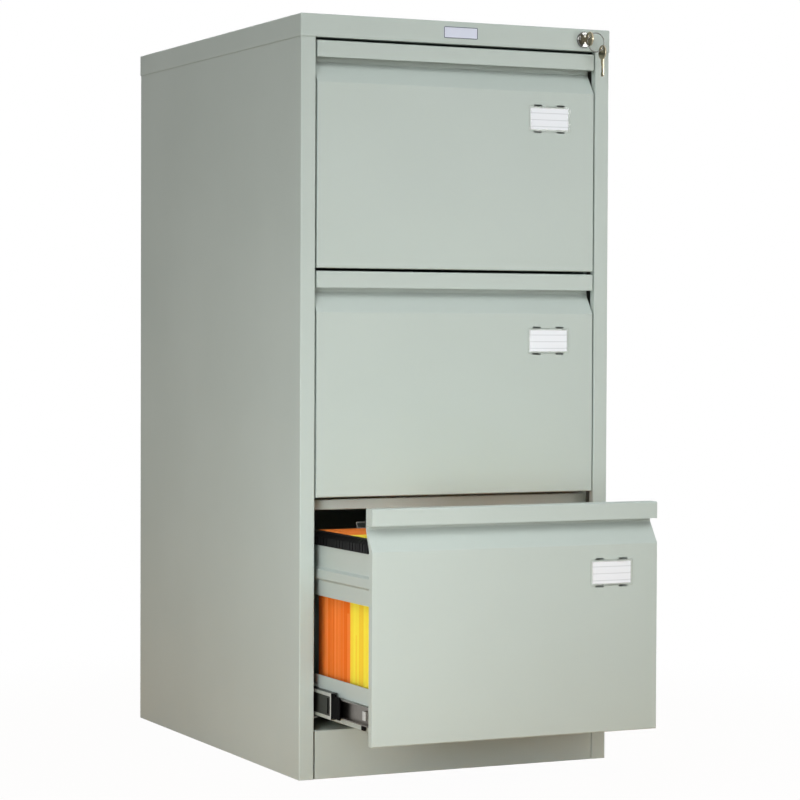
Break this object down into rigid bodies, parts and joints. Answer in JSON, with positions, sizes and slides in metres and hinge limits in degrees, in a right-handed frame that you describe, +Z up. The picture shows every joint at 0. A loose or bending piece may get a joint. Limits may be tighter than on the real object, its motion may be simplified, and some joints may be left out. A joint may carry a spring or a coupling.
{
  "type": "filing cabinet",
  "caption": "Upright steel suspension filing cabinet with full-width drawer grips, telescopic slides, a cover lock and hanging folders.",
  "frame": {"origin": "on the floor, at the middle of the footprint of the cabinet's body", "axes": "+Z up, the drawers open towards -Y, +X to the right as seen from the front"},
  "size_m": [0.469, 0.8126, 1.02],
  "materials": {
    "cabinet_paint": "fine textured powder coat",
    "zinc_steel": "bright zinc plate",
    "chrome_plate": "polished",
    "lock_plug_steel": "satin",
    "key_nickel": "nickel plate",
    "bare_plate": "satin",
    "clear_plastic": "clear",
    "label_card": "uncoated",
    "yellow_card": "uncoated",
    "orange_card": "uncoated",
    "black_plastic": "moulded"
  },
  "bodies": {
    "cabinet": {"left_side_panel": "cabinet_paint", "right_side_panel": "cabinet_paint", "back_panel": "cabinet_paint", "top_cover": "cabinet_paint", "base_panel": "cabinet_paint", "plinth": "cabinet_paint", "front_rails": "cabinet_paint", "front_uprights": "cabinet_paint", "rear_uprights": "cabinet_paint", "cabinet_slides": "zinc_steel", "slide_screws": "zinc_steel", "lock_housing": "chrome_plate", "lock_nut": "zinc_steel", "lock_bar_clips": "zinc_steel", "badge_plate": "bare_plate"},
    "lock": {"lock_plug": "lock_plug_steel", "lock_cam": "zinc_steel"},
    "lock_bar": {"lock_bar": "zinc_steel"},
    "key": {"key": "key_nickel"},
    "spare_keys": {"key_ring": "chrome_plate", "spare_key": "key_nickel"},
    "top_drawer": {"top_drawer_front": "cabinet_paint", "top_drawer_front_liner": "cabinet_paint", "top_drawer_left_side": "cabinet_paint", "top_drawer_right_side": "cabinet_paint", "top_drawer_back": "cabinet_paint", "top_drawer_bottom": "cabinet_paint", "top_drawer_inner_slides": "zinc_steel", "top_drawer_label_holder": "clear_plastic", "top_drawer_label_card": "label_card"},
    "top_mid_slides": {"top_drawer_mid_slides": "zinc_steel"},
    "top_outer_cages": {"top_drawer_outer_cages": "zinc_steel"},
    "top_inner_cages": {"top_drawer_inner_cages": "zinc_steel"},
    "middle_drawer": {"middle_drawer_front": "cabinet_paint", "middle_drawer_front_liner": "cabinet_paint", "middle_drawer_left_side": "cabinet_paint", "middle_drawer_right_side": "cabinet_paint", "middle_drawer_back": "cabinet_paint", "middle_drawer_bottom": "cabinet_paint", "middle_drawer_inner_slides": "zinc_steel", "middle_drawer_label_holder": "clear_plastic", "middle_drawer_label_card": "label_card"},
    "middle_mid_slides": {"middle_drawer_mid_slides": "zinc_steel"},
    "middle_outer_cages": {"middle_drawer_outer_cages": "zinc_steel"},
    "middle_inner_cages": {"middle_drawer_inner_cages": "zinc_steel"},
    "bottom_drawer": {"bottom_drawer_front": "cabinet_paint", "bottom_drawer_front_liner": "cabinet_paint", "bottom_drawer_left_side": "cabinet_paint", "bottom_drawer_right_side": "cabinet_paint", "bottom_drawer_back": "cabinet_paint", "bottom_drawer_bottom": "cabinet_paint", "bottom_drawer_inner_slides": "zinc_steel", "bottom_drawer_label_holder": "clear_plastic", "bottom_drawer_label_card": "label_card", "yellow_folders": "yellow_card", "orange_folders": "orange_card", "folder_bars": "black_plastic"},
    "bottom_mid_slides": {"bottom_drawer_mid_slides": "zinc_steel"},
    "bottom_outer_cages": {"bottom_drawer_outer_cages": "zinc_steel"},
    "bottom_inner_cages": {"bottom_drawer_inner_cages": "zinc_steel"}
  },
  "joints": [
    {"name": "lock_turn", "type": "hinge", "parent": "cabinet", "child": "lock", "pos_m": [0.1927, -0.316, 1.0049], "axis": [0, 1, 0], "range_deg": [0, 90]},
    {"name": "lock_bar_slide", "type": "slide", "parent": "cabinet", "child": "lock_bar", "axis": [0, 0, -1], "range_m": [0, 0.01273]},
    {"name": "key_withdraw", "type": "slide", "parent": "lock", "child": "key", "axis": [0, -1, 0], "range_m": [0, 0.03]},
    {"name": "spare_keys_swing", "type": "hinge", "parent": "key", "child": "spare_keys", "pos_m": [0.1927, -0.3326, 1.0086], "axis": [-1, 0, 0], "range_deg": [0, 80]},
    {"name": "top_drawer_slide", "type": "slide", "parent": "cabinet", "child": "top_drawer", "axis": [0, -1, 0], "range_m": [0, 0.54]},
    {"name": "top_mid_slides_run", "type": "slide", "parent": "cabinet", "child": "top_mid_slides", "axis": [0, -1, 0], "range_m": [0, 0.27]},
    {"name": "top_outer_cages_run", "type": "slide", "parent": "cabinet", "child": "top_outer_cages", "axis": [0, -1, 0], "range_m": [0, 0.135]},
    {"name": "top_inner_cages_run", "type": "slide", "parent": "cabinet", "child": "top_inner_cages", "axis": [0, -1, 0], "range_m": [0, 0.405]},
    {"name": "middle_drawer_slide", "type": "slide", "parent": "cabinet", "child": "middle_drawer", "axis": [0, -1, 0], "range_m": [0, 0.54]},
    {"name": "middle_mid_slides_run", "type": "slide", "parent": "cabinet", "child": "middle_mid_slides", "axis": [0, -1, 0], "range_m": [0, 0.27]},
    {"name": "middle_outer_cages_run", "type": "slide", "parent": "cabinet", "child": "middle_outer_cages", "axis": [0, -1, 0], "range_m": [0, 0.135]},
    {"name": "middle_inner_cages_run", "type": "slide", "parent": "cabinet", "child": "middle_inner_cages", "axis": [0, -1, 0], "range_m": [0, 0.405]},
    {"name": "bottom_drawer_slide", "type": "slide", "parent": "cabinet", "child": "bottom_drawer", "axis": [0, -1, 0], "range_m": [-0.18, 0.36]},
    {"name": "bottom_mid_slides_run", "type": "slide", "parent": "cabinet", "child": "bottom_mid_slides", "axis": [0, -1, 0], "range_m": [-0.09, 0.18]},
    {"name": "bottom_outer_cages_run", "type": "slide", "parent": "cabinet", "child": "bottom_outer_cages", "axis": [0, -1, 0], "range_m": [-0.045, 0.09]},
    {"name": "bottom_inner_cages_run", "type": "slide", "parent": "cabinet", "child": "bottom_inner_cages", "axis": [0, -1, 0], "range_m": [-0.135, 0.27]}
  ],
  "couplings": [
    {"joint": "lock_bar_slide", "follows": "lock_turn", "m_per_rad": 0.0081028},
    {"joint": "top_mid_slides_run", "follows": "top_drawer_slide", "ratio": 0.5},
    {"joint": "top_outer_cages_run", "follows": "top_drawer_slide", "ratio": 0.25},
    {"joint": "top_inner_cages_run", "follows": "top_drawer_slide", "ratio": 0.75},
    {"joint": "middle_mid_slides_run", "follows": "middle_drawer_slide", "ratio": 0.5},
    {"joint": "middle_outer_cages_run", "follows": "middle_drawer_slide", "ratio": 0.25},
    {"joint": "middle_inner_cages_run", "follows": "middle_drawer_slide", "ratio": 0.75},
    {"joint": "bottom_mid_slides_run", "follows": "bottom_drawer_slide", "ratio": 0.5},
    {"joint": "bottom_outer_cages_run", "follows": "bottom_drawer_slide", "ratio": 0.25},
    {"joint": "bottom_inner_cages_run", "follows": "bottom_drawer_slide", "ratio": 0.75}
  ]
}
